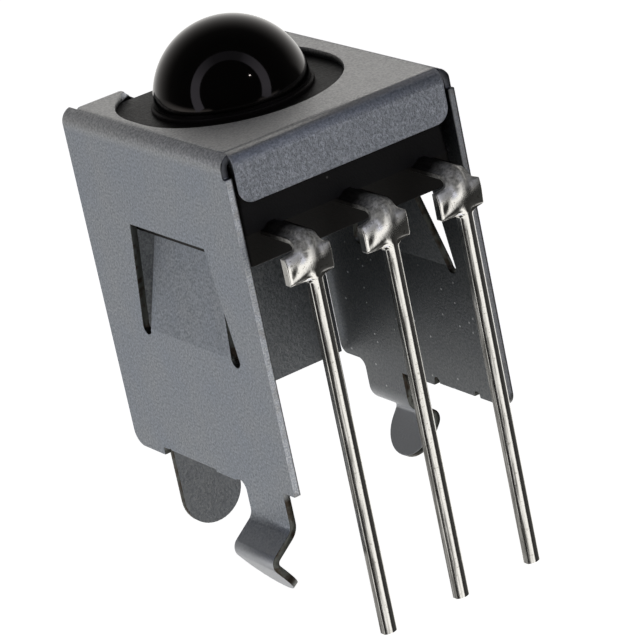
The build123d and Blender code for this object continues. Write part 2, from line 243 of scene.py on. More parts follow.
def plate(name, grain_dark, clouds, speck_share, painted_light_near_board):
    """Matt plating: grains over clouds, other tones in the zones, painted light on the top, the side
    folds and the feet, painted glints on the lip, and dust.
    """
    material, add, place = start_material(name)
    lip, top, fold, foot, low = sheet_zones(add, place, painted_light_near_board)
    even = add(NOISE, place, Scale=1 / GRAIN, Detail=3.0, Roughness=0.6)
    strong = add(NOISE, place, Scale=1 / GRAIN, Detail=3.0, Roughness=0.7)
    cloud = add(NOISE, place, Scale=1 / CLOUD, Detail=3.0, Roughness=0.55)
    grain = add(MIX, lip, even, strong)
    grain_share = add(RANGE, grain, *GRAIN_SPREAD)
    tone = add(MIX, add(RANGE, cloud, *MIDDLE), *clouds, data_type="RGBA")
    tone = add(MIX, grain_share, grain_dark, tone, data_type="RGBA")
    tone = add(MIX, foot, tone, FOOT_PAINTED_LIGHT_TONE, data_type="RGBA")
    strong_share = add(RANGE, strong, *GRAIN_SPREAD)
    for zone, share, tones in (
        (top, grain_share, TOP_PAINTED_LIGHT_TONES),
        (fold, grain_share, FOLD_PAINTED_LIGHT_TONES),
        (lip, strong_share, LIP_TONES),
    ):
        in_zone = add(MIX, share, *tones, data_type="RGBA")
        tone = add(MIX, zone, tone, in_zone, data_type="RGBA")
    # Painted glints: bright spots where the lip's grain is strongest.
    painted_glint = add(MATH, strong, lip, operation="MULTIPLY")
    painted_glint = add(RANGE, painted_glint, *PAINTED_GLINTS, 0.0, PAINTED_GLINT_SHARE)
    tone = add(MIX, painted_glint, tone, PAINTED_GLINT_TONE, data_type="RGBA")
    dust = add("ShaderNodeTexVoronoi", place, Scale=1 / DUST_CELL, feature="F1")
    spot = add(RANGE, dust.outputs["Distance"], *DUST_SIZE, 1.0, 0.0)
    chance = add("ShaderNodeSeparateColor", dust.outputs["Color"]).outputs["Red"]
    chance = add(RANGE, chance, 1.0 - speck_share, 1.0 - 0.7 * speck_share, 0.0, 0.8)
    speck = add(MATH, spot, add(MATH, chance, low, operation="MULTIPLY"), operation="MULTIPLY")
    rough = add(RANGE, grain, *MOST, ROUGH_DARK, ROUGH_LIGHT)
    for zone, more in ((top, TOP_ROUGHER), (fold, FOLD_ROUGHER)):
        rough = add(MATH, rough, add(RANGE, zone, 0.0, 1.0, 0.0, more), operation="ADD")
    height = add(MATH, grain, add(RANGE, lip, 0.0, 1.0, 1.0, 2.0), operation="MULTIPLY")
    shader = add(
        SHADER, Base_Color=add(MIX, speck, tone, DUST_TONE, data_type="RGBA"), Roughness=rough,
        Metallic=add(MATH, 1.0, speck, operation="SUBTRACT"),
        Normal=add(BUMP, Height=height, Distance=GRAIN_DEPTH * MM),
    )
    add(OUTPUT, shader)
    return material


matt_plating = plate(
    "matt_tin_plated_steel", "#a1a8b2", ("#c8cfda", "#d1d5da"), speck_share=0.01, painted_light_near_board=0.0
)
# Inside, the plating is painted darker, as shade, with painted light low down near the board.
inner_painted_shade_plating = plate(
    "matt_tin_plated_steel_inner_painted_shade", "#666a6f", ("#828689", "#888b8b"), speck_share=0.35,
    painted_light_near_board=0.22,
)
print("plating grain in mm:", GRAIN)

# %% [markdown]
# The press shears the sheet, and the cut edge is bare, bright steel with fine lines across its
# thickness. A second material on the same piece gives the thin bright outline that sheet metal
# has. A sheared edge has a burnished part and a torn part, so the front edges are dark along their
# inner side, and the right wall's edge, which was cut from the other side, has its dark burr
# outside. The cut edges in the windows and on the legs are painted darker, as shade, with brown
# patches of rust, and the front edges just below the top are painted dark, as shade.

# %% Sheared edge of the sheet
SHEAR_LINE = 0.05
SHEAR_DEPTH = 0.006
RUST_PATCH = 0.35
# Places in millimetres: the side windows, the legs, the front edges and the corners above them.
WINDOW_MIDDLE, WINDOW_HALF = -1.06, (2.6, 2.7)
LEG_Z = (0.6, 0.1)
FRONT_Y, CORNER_Z = (-4.5, -4.6), (9.75, 9.85)
TORN_X, TORN_SHARE = (3.685, 3.655), 0.8
BURR_X, BURR_SHARE, RIGHT_SHARE = (3.77, 3.8), 0.85, 0.5
PATCHES, PATCH_SHARE = (0.5, 0.7), 0.35
BARE_TONES = ("#b9c0cd", "#f8fbff")
RUST_AND_SHADE_TONES = ("#696b67", "#4e463e")
PATCH_TONE, TORN_TONE, CORNER_PAINTED_SHADE_TONE = "#9c958a", "#3d3a37", "#5c5e63"
sheared_edge, add, place = start_material("sheared_steel_edge")
axes = add(SPLIT, place).outputs
lines = add(NOISE, place, Scale=1 / SHEAR_LINE, Detail=3.0, Roughness=0.65)
patches = add(NOISE, place, Scale=1 / RUST_PATCH)
from_window = add(MATH, axes["Y"], -WINDOW_MIDDLE, operation="ADD")
from_window = add(MATH, from_window, operation="ABSOLUTE")
in_window = add(RANGE, from_window, *WINDOW_HALF, 1.0, 0.0)
# The windows and the legs: the cut edges are painted darker as shade, with patches of rust brown.
dull = add(MATH, in_window, add(RANGE, axes["Z"], *LEG_Z), operation="MAXIMUM")
from_middle = add(MATH, axes["X"], operation="ABSOLUTE")
in_front = add(RANGE, axes["Y"], *FRONT_Y)
torn = add(RANGE, from_middle, *TORN_X, 0.0, TORN_SHARE)
burr = add(RANGE, axes["X"], *BURR_X, 0.0, BURR_SHARE)
on_right = add(RANGE, axes["X"], 0.0, 1.0, 0.0, RIGHT_SHARE)
burr = add(MATH, burr, on_right, operation="MAXIMUM")
torn = add(MATH, torn, burr, operation="MAXIMUM")
torn = add(MATH, torn, in_front, operation="MULTIPLY")
# Painted shade on the front edges just below the top.
corner = add(MATH, add(RANGE, axes["Z"], *CORNER_Z), in_front, operation="MULTIPLY")
patched = add(RANGE, patches, *PATCHES, 0.0, PATCH_SHARE)
bare = add(MIX, add(RANGE, lines, *MIDDLE), *BARE_TONES, data_type="RGBA")
for share, tone in ((patched, PATCH_TONE), (torn, TORN_TONE), (corner, CORNER_PAINTED_SHADE_TONE)):
    bare = add(MIX, share, bare, tone, data_type="RGBA")
rusty = add(MIX, add(RANGE, patches, 0.5, 0.62), *RUST_AND_SHADE_TONES, data_type="RGBA")
shader = add(
    SHADER, Base_Color=add(MIX, dull, bare, rusty, data_type="RGBA"), Metallic=1.0,
    Roughness=add(RANGE, lines, *MOST, 0.5, 0.34),
    Normal=add(BUMP, Height=lines, Distance=SHEAR_DEPTH * MM),
)
add(OUTPUT, shader)
print("shear lines in mm:", SHEAR_LINE)

# %% [markdown]
# ## The shield case
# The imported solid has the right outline, folds, windows and legs, but every edge is knife sharp.
# The case could be folded anew from a flat plane, but those folds would have to meet the packed
# ones everywhere, so the solid's own form is dressed. A pressed part has slightly rounded edges
# that catch the light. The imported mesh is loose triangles, so a copy is merged first. The cut
# edges are found by measuring: behind a flat or a fold the metal is one sheet deep, and behind a
# cut edge it is much deeper. A Bevel modifier then rounds the edges.

# %% Copy of a solid, and plain pieces
WELD = 0.006
FLAT = radians(0.3)


def merged_copy(node):
    """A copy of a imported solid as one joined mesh."""
    work = bmesh.new()
    work.from_mesh(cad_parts[node].data)
    bmesh.ops.remove_doubles(work, verts=work.verts, dist=WELD * MM)
    bmesh.ops.dissolve_limit(
        work, angle_limit=FLAT, verts=work.verts, edges=work.edges, delimit={"NORMAL"}
    )
    bmesh.ops.recalc_face_normals(work, faces=work.faces)
    for face in work.faces:
        face.smooth = True
    work.verts.index_update()
    work.verts.ensure_lookup_table()
    return work


def piece_from(work, name):
    """A new object from a bmesh, linked to the scene."""
    mesh = bpy.data.meshes.new(name)
    work.to_mesh(mesh)
    work.free()
    piece = bpy.data.objects.new(name, mesh)
    scene.collection.objects.link(piece)
    return piece


def frozen(piece):
    """Turns a piece with modifiers into a plain mesh in a new object, and removes the old one."""
    bpy.context.view_layer.update()
    evaluated = piece.evaluated_get(bpy.context.evaluated_depsgraph_get())
    mesh = bpy.data.meshes.new_from_object(evaluated)
    name = piece.name
    bpy.data.objects.remove(piece)
    plain = bpy.data.objects.new(name, mesh)
    mesh.name = name
    scene.collection.objects.link(plain)
    return plain


shield_mesh = merged_copy("shield_case")
print("joined points:", len(shield_mesh.verts), "faces:", len(shield_mesh.faces))

# %% Cut edges, outer side and inner side
SHEET = 0.22
SHEET_SLACK = 0.05
RAY_START, FARTHEST = 0.001, 5.0
BLOCK_TOP = 10.23
WINDOW_REACH = 3.6
EDGE, SHADED_INNER = 1, 2

shield_surface = BVHTree.FromBMesh(shield_mesh)
cut_faces = 0
for face in shield_mesh.faces:
    centre = face.calc_center_median()
    inward = -face.normal
    hit = shield_surface.ray_cast(centre + inward * RAY_START * MM, inward, FARTHEST * MM)
    depth = hit[3] if hit[0] is not None else 0.0
    above_block = centre.z > BLOCK_TOP * MM
    if abs(depth - SHEET * MM) > SHEET_SLACK * MM:
        round_window = above_block and centre.xy.length < WINDOW_REACH * MM
        face.material_index = SHADED_INNER if round_window else EDGE
        cut_faces += 1
    elif not above_block and inward.xy.dot(centre.xy) > 0:
        face.material_index = SHADED_INNER
print("cut faces:", cut_faces)

# %% [markdown]
# Where several folds meet, some edges are shorter than the rounding, and there the bevel throws
# points off or turns faces over. So the rounding is tried on a copy, each fault is looked up, and
# the edges next to it stay sharp. After a few rounds there are no faults left, and most edges are
# rounded.

# %% Rounding that leaves difficult corners sharp
EDGE_ROUND = 0.02
SHARP = radians(40)
OFF_SURFACE = 0.6 * EDGE_ROUND
TURNED_OVER = -0.2
SMALLEST_FACE = 1e-6
MOST_TRIALS = 8


def add_rounding(piece):
    """A Bevel modifier on the weighted edges, and normals that keep the flats flat."""
    rounding = piece.modifiers.new("edge rounding", "BEVEL")
    rounding.width = EDGE_ROUND * MM
    rounding.segments = 2
    rounding.limit_method = "WEIGHT"
    rounding.use_clamp_overlap = False
    rounding.material = -1
    flats_first = piece.modifiers.new("flat faces stay flat", "WEIGHTED_NORMAL")
    flats_first.mode = "FACE_AREA"
    flats_first.weight = 80
    flats_first.keep_sharp = True


def faults(mesh, surface):
    """Points of a rounded mesh that left the solid's surface, or whose face is turned over."""
    spots = [
        point.co.copy() for point in mesh.vertices
        if surface.find_nearest(point.co)[3] > OFF_SURFACE * MM
    ]
    mesh.calc_loop_triangles()
    for triangle in mesh.loop_triangles:
        corners = [mesh.vertices[i].co.copy() for i in triangle.vertices]
        under = surface.find_nearest(sum(corners, Vector()) / 3)
        turned = under[1].dot(triangle.normal) < TURNED_OVER
        if turned and triangle.area > SMALLEST_FACE * MM * MM:
            spots += corners
    return spots


weight = shield_mesh.edges.layers.float.new("bevel_weight_edge")
nearby = KDTree(len(shield_mesh.verts))
for vertex in shield_mesh.verts:
    nearby.insert(vertex.co, vertex.index)
nearby.balance()
for edge in shield_mesh.edges:
    if len(edge.link_faces) == 2 and edge.calc_face_angle(0.0) > SHARP:
        edge[weight] = 1.0
for attempt in range(MOST_TRIALS):
    trial = piece_from(shield_mesh.copy(), "trial")
    add_rounding(trial)
    trial = frozen(trial)
    spots = faults(trial.data, shield_surface)
    bpy.data.objects.remove(trial)
    for spot in spots:
        for edge in shield_mesh.verts[nearby.find(spot)[1]].link_edges:
            edge[weight] = 0.0
    print("attempt", attempt + 1, "faults:", len(spots))
    if not spots:
        break

# %% [markdown]
# The sheet gets its three materials: plating outside, bare steel on the cut edges and, inside, the
# same plating painted darker as shade. The modifiers are then applied, because the export and the
# frame take plain meshes, and the piece stands for the imported solid, which stays hidden for the
# physics.

# %% The folded shield
shield = piece_from(shield_mesh, "folded_shield")
for material in (matt_plating, sheared_edge, inner_painted_shade_plating):
    shield.data.materials.append(material)
add_rounding(shield)
shield = frozen(shield)
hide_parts("shield_case")
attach(shield, "root")
print("shield faces:", len(shield.data.polygons))

# %% [markdown]
# ## Black epoxy
# The moulding is clear epoxy with a dye that looks black and lets infrared through. The ball lens
# comes from a polished cavity and is glossy, down to its collar, which isn't polished. The block
# comes from a spark-eroded cavity and is matt, with a faint sandy texture and a little dust. Both
# have the IOR of epoxy, about 1.55. The dye takes a part of the shine and warms it. A glass shader
# with dark absorption would be nearer to the real dye, but no light comes back through this much
# of it, so an opaque black under a clear shine looks the same and renders faster.

# %% Polished lens
EPOXY_IOR = 1.55
HAZE, HAZE_DEPTH = 0.9, 0.0006
COLLAR_TOP = 10.36
COLLAR_ROUGHER = 0.55
lens_epoxy, add, place = start_material("polished_black_epoxy")
haze = add(NOISE, place, Scale=1 / HAZE)
height = add(SPLIT, place).outputs["Z"]
collar = add(RANGE, height, COLLAR_TOP + 0.1, COLLAR_TOP + 0.02, 0.0, COLLAR_ROUGHER)
polish = add(RANGE, haze, *MOST, 0.05, 0.085)
shader = add(
    SHADER, Base_Color=add(MIX, haze, "#050505", "#080706", data_type="RGBA"),
    Roughness=add(MATH, polish, collar, operation="ADD"), IOR=EPOXY_IOR,
    Specular_IOR_Level=0.3, Specular_Tint="#fff2ec",
    Normal=add(BUMP, Height=haze, Distance=HAZE_DEPTH * MM),
)
add(OUTPUT, shader)
print("epoxy IOR:", EPOXY_IOR)

# %% Matt block
EROSION, EROSION_DEPTH = 0.06, 0.008
BLOCK_DUST_CELL, BLOCK_DUST_SIZE = 0.5, (0.05, 0.09)
BLOCK_DUST_TONE, BLOCK_DUST_SHARE = "#8d8b86", 0.35
block_epoxy, add, place = start_material("spark_textured_black_epoxy")
pits = add(NOISE, place, Scale=1 / EROSION, Roughness=0.55)
dust = add("ShaderNodeTexVoronoi", place, Scale=1 / BLOCK_DUST_CELL, feature="F1")
spot = add(RANGE, dust.outputs["Distance"], *BLOCK_DUST_SIZE, 1.0, 0.0)
chance = add("ShaderNodeSeparateColor", dust.outputs["Color"]).outputs["Red"]
chance = add(RANGE, chance, 0.86, 0.88, 0.0, BLOCK_DUST_SHARE)
speck = add(MATH, spot, chance, operation="MULTIPLY")
matt_black = add(MIX, pits, "#0c0b0a", "#161412", data_type="RGBA")
shader = add(
    SHADER, Base_Color=add(MIX, speck, matt_black, BLOCK_DUST_TONE, data_type="RGBA"),
    Roughness=add(RANGE, pits, *MOST, 0.42, 0.55), IOR=EPOXY_IOR, Specular_IOR_Level=0.2,
    Normal=add(BUMP, Height=pits, Distance=EROSION_DEPTH * MM),
)
add(OUTPUT, shader)
print("eroded texture in mm:", EROSION)

# %% [markdown]
# ## The ball lens
# A lens is a surface of revolution, so its shape follows one rule: a profile turned about an axis.
# A sphere cut at the collar would be quicker, but its rings wouldn't meet the rounded foot. In
# this node tree a circle is the path and the profile is an arc, a fillet and the collar. Every
# point of the sweep remembers its radius and height from the profile and its turn from the path,
# and one Set Position node puts it on the round. That keeps the polished dome perfectly even.


# %% Trees for pieces
def new_tree(name, sizes):
    """A Geometry Nodes tree with a named input for each size, add_node bound to it, and inputs."""
    tree = bpy.data.node_groups.new(name, "GeometryNodeTree")
    tree.interface.new_socket("Geometry", in_out="OUTPUT", socket_type="NodeSocketGeometry")
    for label, value in sizes.items():
        socket = tree.interface.new_socket(label, in_out="INPUT", socket_type="NodeSocketFloat")
        socket.default_value = value
    add = partial(add_node, tree)
    return tree, add, add("NodeGroupInput").outputs


def end_tree(add, geometry, material):
    """Smooth shading, Realize Instances and Set Material before the output."""
    smoothed = add("GeometryNodeSetShadeSmooth", geometry)
    real = add("GeometryNodeRealizeInstances", smoothed)
    add("NodeGroupOutput", add("GeometryNodeSetMaterial", real, Material=material))


def run_tree(tree, name, values=None):
    """Runs a tree on a new object and returns the result as a plain piece."""
    piece = bpy.data.objects.new(name, bpy.data.meshes.new(name))
    scene.collection.objects.link(piece)
    modifier = piece.modifiers.new("nodes", "NODES")
    modifier.node_group = tree
    for item in tree.interface.items_tree:
        if item.in_out == "INPUT" and item.name in (values or {}):
            modifier[item.identifier] = float(values[item.name])
    return frozen(piece)


# %% Profile of the lens
LENS_STEPS = 120
LENS_TURNS = 160
FOOT_STEPS = 5
POLE_WELD = 0.002
lens_tree, add, size = new_tree("turned_lens", {
    "Lens radius": 2.26 * MM,
    "Lens top": 12.51 * MM,
    "Collar radius": 2.35 * MM,
    "Collar top": COLLAR_TOP * MM,
    "Foot round": 0.05 * MM,
    "Base": 9.6 * MM,
    "Axis place": -0.20 * MM,
})
centre_height = add(MATH, size["Lens top"], size["Lens radius"], operation="SUBTRACT")
foot_rise = add(MATH, size["Collar top"], centre_height, operation="SUBTRACT")
foot_rise = add(MATH, foot_rise, size["Lens radius"], operation="DIVIDE")
foot_angle = add(MATH, foot_rise, operation="ARCSINE")
foot_cosine = add(MATH, foot_angle, operation="COSINE")
foot_reach = add(MATH, size["Lens radius"], foot_cosine, operation="MULTIPLY")
dome = add(
    "GeometryNodeCurveArc", mode="RADIUS", Resolution=LENS_STEPS, Radius=size["Lens radius"],
    Start_Angle=foot_angle, Sweep_Angle=add(MATH, pi / 2, foot_angle, operation="SUBTRACT"),
)
dome = add("GeometryNodeTransform", dome, Translation=add(JOIN, Y=centre_height))
foot = add(
    "GeometryNodeCurvePrimitiveQuadrilateral", mode="POINTS",
    Point_1=add(JOIN, foot_reach, size["Collar top"]),
    Point_2=add(JOIN, size["Collar radius"], size["Collar top"]),
    Point_3=add(JOIN, size["Collar radius"], size["Base"]),
    Point_4=add(JOIN, 0.0, size["Base"]),
)
foot = add("GeometryNodeSetSplineCyclic", foot, Cyclic=False)
foot = add(
    "GeometryNodeFilletCurve", foot, mode="POLY", Count=FOOT_STEPS, Radius=size["Foot round"]
)
profile = add("GeometryNodeJoinGeometry", [dome, foot])
print("steps of the dome:", LENS_STEPS)

# %% The profile turned about the lens axis
spot = add("GeometryNodeInputPosition")
profile = add("GeometryNodeCaptureAttribute", profile, domain="POINT", Profile=spot)
turn = add("GeometryNodeCurvePrimitiveCircle", Resolution=LENS_TURNS, Radius=1 * MM)
turn = add(
    "GeometryNodeCaptureAttribute", turn, domain="POINT",
    Turn=add(VECTOR, spot, operation="NORMALIZE"),
)
swept = add("GeometryNodeCurveToMesh", turn, profile)
held = add(SPLIT, profile.outputs["Profile"]).outputs
around = add(SPLIT, turn.outputs["Turn"]).outputs
across = add(MATH, around["X"], held["X"], operation="MULTIPLY")
across = add(MATH, across, size["Axis place"], operation="ADD")
back = add(MATH, around["Y"], held["X"], operation="MULTIPLY")
turned = add("GeometryNodeSetPosition", swept, Position=add(JOIN, across, back, held["Y"]))
closed = add("GeometryNodeMergeByDistance", turned, Distance=POLE_WELD * MM)
end_tree(add, closed, lens_epoxy)
lens = run_tree(lens_tree, "turned_lens")
print("lens points:", len(lens.data.vertices))

# %% [markdown]
# ## The block
# The block is drafted both ways from its parting line, so that it leaves the two mould halves. The
# line itself is a hair of flash. A box with a Bevel modifier has no draft, so the block is a stack
# of rounded rectangles joined by faces, and one list of levels gives both drafts, the flash and
# the rounded edges. The lens is added to it with a Boolean, and its polished faces keep their own
# material.

# %% Levels of the block
BLOCK_HALF = 3.50
BLOCK_FRONT = -4.70
BLOCK_BACK = 3.00
BLOCK_BOTTOM = 7.05
PARTING = 8.00
DRAFT = radians(3.2)
BLOCK_CORNER = 0.15
CORNER_STEPS = 6
BLOCK_EDGE = 0.06
EDGE_STEPS = 4
FLASH, FLASH_FOOT, FLASH_CREST = 0.012, 0.03, 0.01


def rounded_outline(inset, level):
    """Corner-rounded outline of the block, drawn in by inset, at one level."""
    points = []
    half, front, back = BLOCK_HALF - inset, BLOCK_FRONT + inset, BLOCK_BACK - inset
    corners = ((half, back, 0), (-half, back, 90), (-half, front, 180), (half, front, 270))
    for x, y, start in corners:
        centre_x = x - BLOCK_CORNER * (1 if x > 0 else -1)
        centre_y = y - BLOCK_CORNER * (1 if y == back else -1)
        for step in range(CORNER_STEPS + 1):
            angle = radians(start + 90 * step / CORNER_STEPS)
            aside, behind = BLOCK_CORNER * cos(angle), BLOCK_CORNER * sin(angle)
            points.append((centre_x + aside, centre_y + behind, level))
    return points


top_inset = (BLOCK_TOP - PARTING) * sin(DRAFT)
bottom_inset = (PARTING - BLOCK_BOTTOM) * sin(DRAFT)
edge_turns = [radians(90 * step / EDGE_STEPS) for step in range(EDGE_STEPS + 1)]
levels = [
    (bottom_inset + BLOCK_EDGE * (1 - sin(turn)), BLOCK_BOTTOM + BLOCK_EDGE * (1 - cos(turn)))
    for turn in edge_turns
]
levels += [
    (FLASH, PARTING - FLASH_FOOT), (0.0, PARTING - FLASH_CREST),
    (0.0, PARTING + FLASH_CREST), (FLASH, PARTING + FLASH_FOOT),
]
levels += [
    (top_inset + BLOCK_EDGE * (1 - cos(turn)), BLOCK_TOP - BLOCK_EDGE * (1 - sin(turn)))
    for turn in edge_turns
]
print("levels of the block:", len(levels))

# %% Block with its lens
work = bmesh.new()
rings = [[work.verts.new(Vector(p) * MM) for p in rounded_outline(*level)] for level in levels]
for lower, upper in zip(rings, rings[1:]):
    for i in range(len(lower)):
        work.faces.new((lower[i - 1], lower[i], upper[i], upper[i - 1]))
work.faces.new(list(reversed(rings[0])))
work.faces.new(rings[-1])
bmesh.ops.recalc_face_normals(work, faces=work.faces)
for face in work.faces:
    face.smooth = len(face.verts) == 4
block = piece_from(work, "epoxy_block")
block.data.materials.append(block_epoxy)
block.data.materials.append(lens_epoxy)
joining = block.modifiers.new("lens", "BOOLEAN")
joining.operation = "UNION"
joining.solver = "EXACT"
joining.material_mode = "TRANSFER"
joining.object = lens
block = frozen(block)
block.data.set_sharp_from_angle(angle=radians(35))
bpy.data.objects.remove(lens)
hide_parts("moulded_package")
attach(block, "root")
print("block faces:", len(block.data.polygons), [m.name for m in block.data.materials])

# %% [markdown]
# ## Tinned leads
# The leads are stamped from steel or copper strip and dipped in tin. Molten tin pulls itself
# smooth on the legs, and gives a warm white metal with small pits. Long grey streaks on the left of
# each leg are painted shade. Above the wings it stays rougher, and near the block the strip is
# painted nearly black, as shade. A painted map for each lead could follow the photograph spot by
# spot, but a pattern in space serves all three and holds from every side. The pattern repeats at
# the pitch of the leads.

# %% Hot-dipped tin
PITCH = 2.54
PIT = 0.09
PIT_DEPTH = 0.0016
SMEAR = 0.6
STREAK = (0.05, 0.05, 1.3)
STREAK_X, STREAK_Z = (-0.05, -0.12), (6.8, 6.3)
NEAR_BLOCK_Z, ROUGH_Z, NECK_Y = (7.45, 7.9), (7.2, 7.6), (-6.1, -5.4)
SMOOTH, ROUGH, STREAK_ROUGHER = (0.07, 0.16), 0.38, 0.2
# The streak tone and the neck tones are painted shade.
CLEAN_TONES, STREAK_PAINTED_SHADE_TONE = ("#bdbbb4", "#f5f4f0"), "#706f6b"
BLOCK_SIDE_TONES, NECK_PAINTED_SHADE_TONES = ("#8f8d87", "#dedcd5"), ("#1c1b19", "#3a3835")
tin, add, place = start_material("hot_dipped_tin")
axes = add(SPLIT, place).outputs
pits = add(NOISE, place, Scale=1 / PIT, Detail=3.0, Roughness=0.6)
near_block = add(RANGE, axes["Z"], *NEAR_BLOCK_Z)
drawn_out = add(VECTOR, place, STREAK, operation="DIVIDE")
streaks = add(NOISE, drawn_out, Scale=1.0, Detail=3.0, Roughness=0.6)
from_edge = add(MATH, axes["X"], 1.5 * PITCH, operation="ADD")
from_edge = add(MATH, from_edge, PITCH, operation="FLOORED_MODULO")
from_lead = add(MATH, from_edge, 0.5 * PITCH, operation="SUBTRACT")
# Darker grey streaks on the left of each leg: painted shade.
on_left = add(RANGE, from_lead, *STREAK_X)
on_left = add(MATH, on_left, add(RANGE, axes["Z"], *STREAK_Z), operation="MULTIPLY")
shaded_streaks = add(MATH, on_left, add(RANGE, streaks, 0.36, 0.62, 1.0, 0.1), operation="MULTIPLY")
tone = add(MIX, add(RANGE, pits, 0.3, 0.42), *CLEAN_TONES, data_type="RGBA")
tone = add(MIX, shaded_streaks, tone, STREAK_PAINTED_SHADE_TONE, data_type="RGBA")
pitted = add(RANGE, pits, *MIDDLE)
# Painted shade: near the block the strip is nearly black.
neck = add(RANGE, axes["Y"], *NECK_Y)
for share, tones in ((near_block, BLOCK_SIDE_TONES), (neck, NECK_PAINTED_SHADE_TONES)):
    tone = add(MIX, share, tone, add(MIX, pitted, *tones, data_type="RGBA"), data_type="RGBA")
smooth_part = add(RANGE, add(NOISE, place, Scale=1 / SMEAR), 0.45, 0.7, *SMOOTH)
streaky_part = add(RANGE, shaded_streaks, 0.0, 1.0, 0.0, STREAK_ROUGHER)
smooth_part = add(MATH, smooth_part, streaky_part, operation="ADD")
height = add(MATH, pits, add(RANGE, near_block, 0.0, 1.0, 1.0, 4.0), operation="MULTIPLY")
shader = add(
    SHADER, Base_Color=tone, Metallic=add(RANGE, near_block, 0.0, 1.0, 1.0, 0.4),
    Roughness=add(MIX, add(RANGE, axes["Z"], *ROUGH_Z), smooth_part, ROUGH),
    Normal=add(BUMP, Height=height, Distance=PIT_DEPTH * MM),
)
add(OUTPUT, shader)
print("pits in mm:", PIT)

# %% [markdown]
# All three leads are the same strip on the same path, so one node tree makes them. Three meshes
# made by hand would need each change three times. The path runs out of the block, bends down and
# ends below the board. A unit rectangle is swept along it, and each point then takes its real
# place from how far along the path it is: neck, dam-bar wing, leg.

# %% Path and section of a lead
LEAD_LEVEL = 8.00
LEAD_PLANE = -6.33
PATH_STEPS, BEND_STEPS = 420, 16
SECTION_STEPS, SECTION_ROUND = 80, 0.12
lead_tree, add, size = new_tree("tinned_lead", {
    "Place": 0.0,
    "Inner left": 0.42 * MM,
    "Inner right": 0.42 * MM,
    "Inner length": 1.20 * MM,
    "Start": -3.95 * MM,
    "Tip": -3.90 * MM,
    "Neck half width": 0.39 * MM,
    "Leg half width": 0.22 * MM,
    "Wing left": 0.85 * MM,
    "Wing right": 0.64 * MM,
    "Wing top": 7.64 * MM,
    "Wing bottom": 6.83 * MM,
    "Shoulder fillet": 0.25 * MM,
    "Hip fillet": 0.15 * MM,
    "Sheet": 0.30 * MM,
    "Crown": 0.09 * MM,
    "Wing crown": 0.05 * MM,
    "Pillow": 0.08 * MM,
    "Bend": 0.35 * MM,
})
path = add(
    "GeometryNodeCurvePrimitiveQuadrilateral", mode="POINTS",
    Point_1=add(JOIN, size["Place"], size["Start"], LEAD_LEVEL * MM),
    Point_2=add(JOIN, size["Place"], LEAD_PLANE * MM, LEAD_LEVEL * MM),
    Point_3=add(JOIN, size["Place"], LEAD_PLANE * MM, size["Wing bottom"]),
    Point_4=add(JOIN, size["Place"], LEAD_PLANE * MM, size["Tip"]),
)
path = add("GeometryNodeSetSplineCyclic", path, Cyclic=False)
path = add("GeometryNodeFilletCurve", path, mode="POLY", Count=BEND_STEPS, Radius=size["Bend"])
path = add("GeometryNodeResampleCurve", path, mode="COUNT", Count=PATH_STEPS)
spot = add("GeometryNodeInputPosition")
path = add(
    "GeometryNodeCaptureAttribute", path, domain="POINT", Spine=spot,
    Along=add("GeometryNodeInputTangent"),
)
section = add("GeometryNodeCurvePrimitiveQuadrilateral", 2.0, 2.0, mode="RECTANGLE")
section = add("GeometryNodeFilletCurve", section, mode="POLY", Count=4, Radius=SECTION_ROUND)
section = add("GeometryNodeResampleCurve", section, mode="COUNT", Count=SECTION_STEPS)
section = add("GeometryNodeCaptureAttribute", section, domain="POINT", Section=spot)
strip = add("GeometryNodeCurveToMesh", path, section, Fill_Caps=True)
spine = add(SPLIT, path.outputs["Spine"]).outputs
across = add(SPLIT, section.outputs["Section"]).outputs
print("points of a lead:", PATH_STEPS * SECTION_STEPS)

# %% [markdown]
# The width comes from the height on the spine. Below the wing it is the leg's, in the wing each
# side has its own width, and above it is the neck's, up to the wider part that is sealed in the
# block. The inside corners are round: near them the half width follows a quarter circle.


# %% Half width along the lead
def hollow(value, edge, reach):
    """Extra half width of a round inside corner that starts at a level and ends a radius away."""
    gone = add(RANGE, value, edge, add(MATH, edge, reach, operation="ADD"))
    left = add(MATH, 1.0, gone, operation="SUBTRACT")
    rise = add(MATH, 1.0, add(MATH, left, left, operation="MULTIPLY"), operation="SUBTRACT")
    rise = add(MATH, rise, operation="SQRT")
    size_of_corner = add(MATH, reach, operation="ABSOLUTE")
    return add(
        MATH, size_of_corner, add(MATH, 1.0, rise, operation="SUBTRACT"), operation="MULTIPLY"
    )


def choose(condition, when_true, when_false):
    """when_true where the condition is 1, otherwise when_false."""
    first = add(MATH, condition, when_true, operation="MULTIPLY")
    otherwise = add(MATH, 1.0, condition, operation="SUBTRACT")
    second = add(MATH, otherwise, when_false, operation="MULTIPLY")
    return add(MATH, first, second, operation="ADD")


inner_end = add(MATH, size["Start"], size["Inner length"], operation="SUBTRACT")
inner_start = add(MATH, inner_end, 0.02 * MM, operation="SUBTRACT")
inner_share = add(RANGE, spine["Y"], inner_start, inner_end)
left_side = add(MATH, across["X"], 0.0, operation="LESS_THAN")
above_wing = add(MATH, spine["Z"], size["Wing top"], operation="GREATER_THAN")
below_wing = add(MATH, spine["Z"], size["Wing bottom"], operation="LESS_THAN")
wing = choose(left_side, size["Wing left"], size["Wing right"])
inner = choose(left_side, size["Inner left"], size["Inner right"])
shoulder = hollow(spine["Z"], size["Wing top"], size["Shoulder fillet"])
shoulder = add(MATH, size["Neck half width"], shoulder, operation="ADD")
hip_reach = add(MATH, size["Hip fillet"], -1.0, operation="MULTIPLY")
hip = hollow(spine["Z"], size["Wing bottom"], hip_reach)
hip = add(MATH, size["Leg half width"], hip, operation="ADD")
neck = choose(inner_share, inner, shoulder)
half_width = choose(above_wing, neck, choose(below_wing, hip, wing))
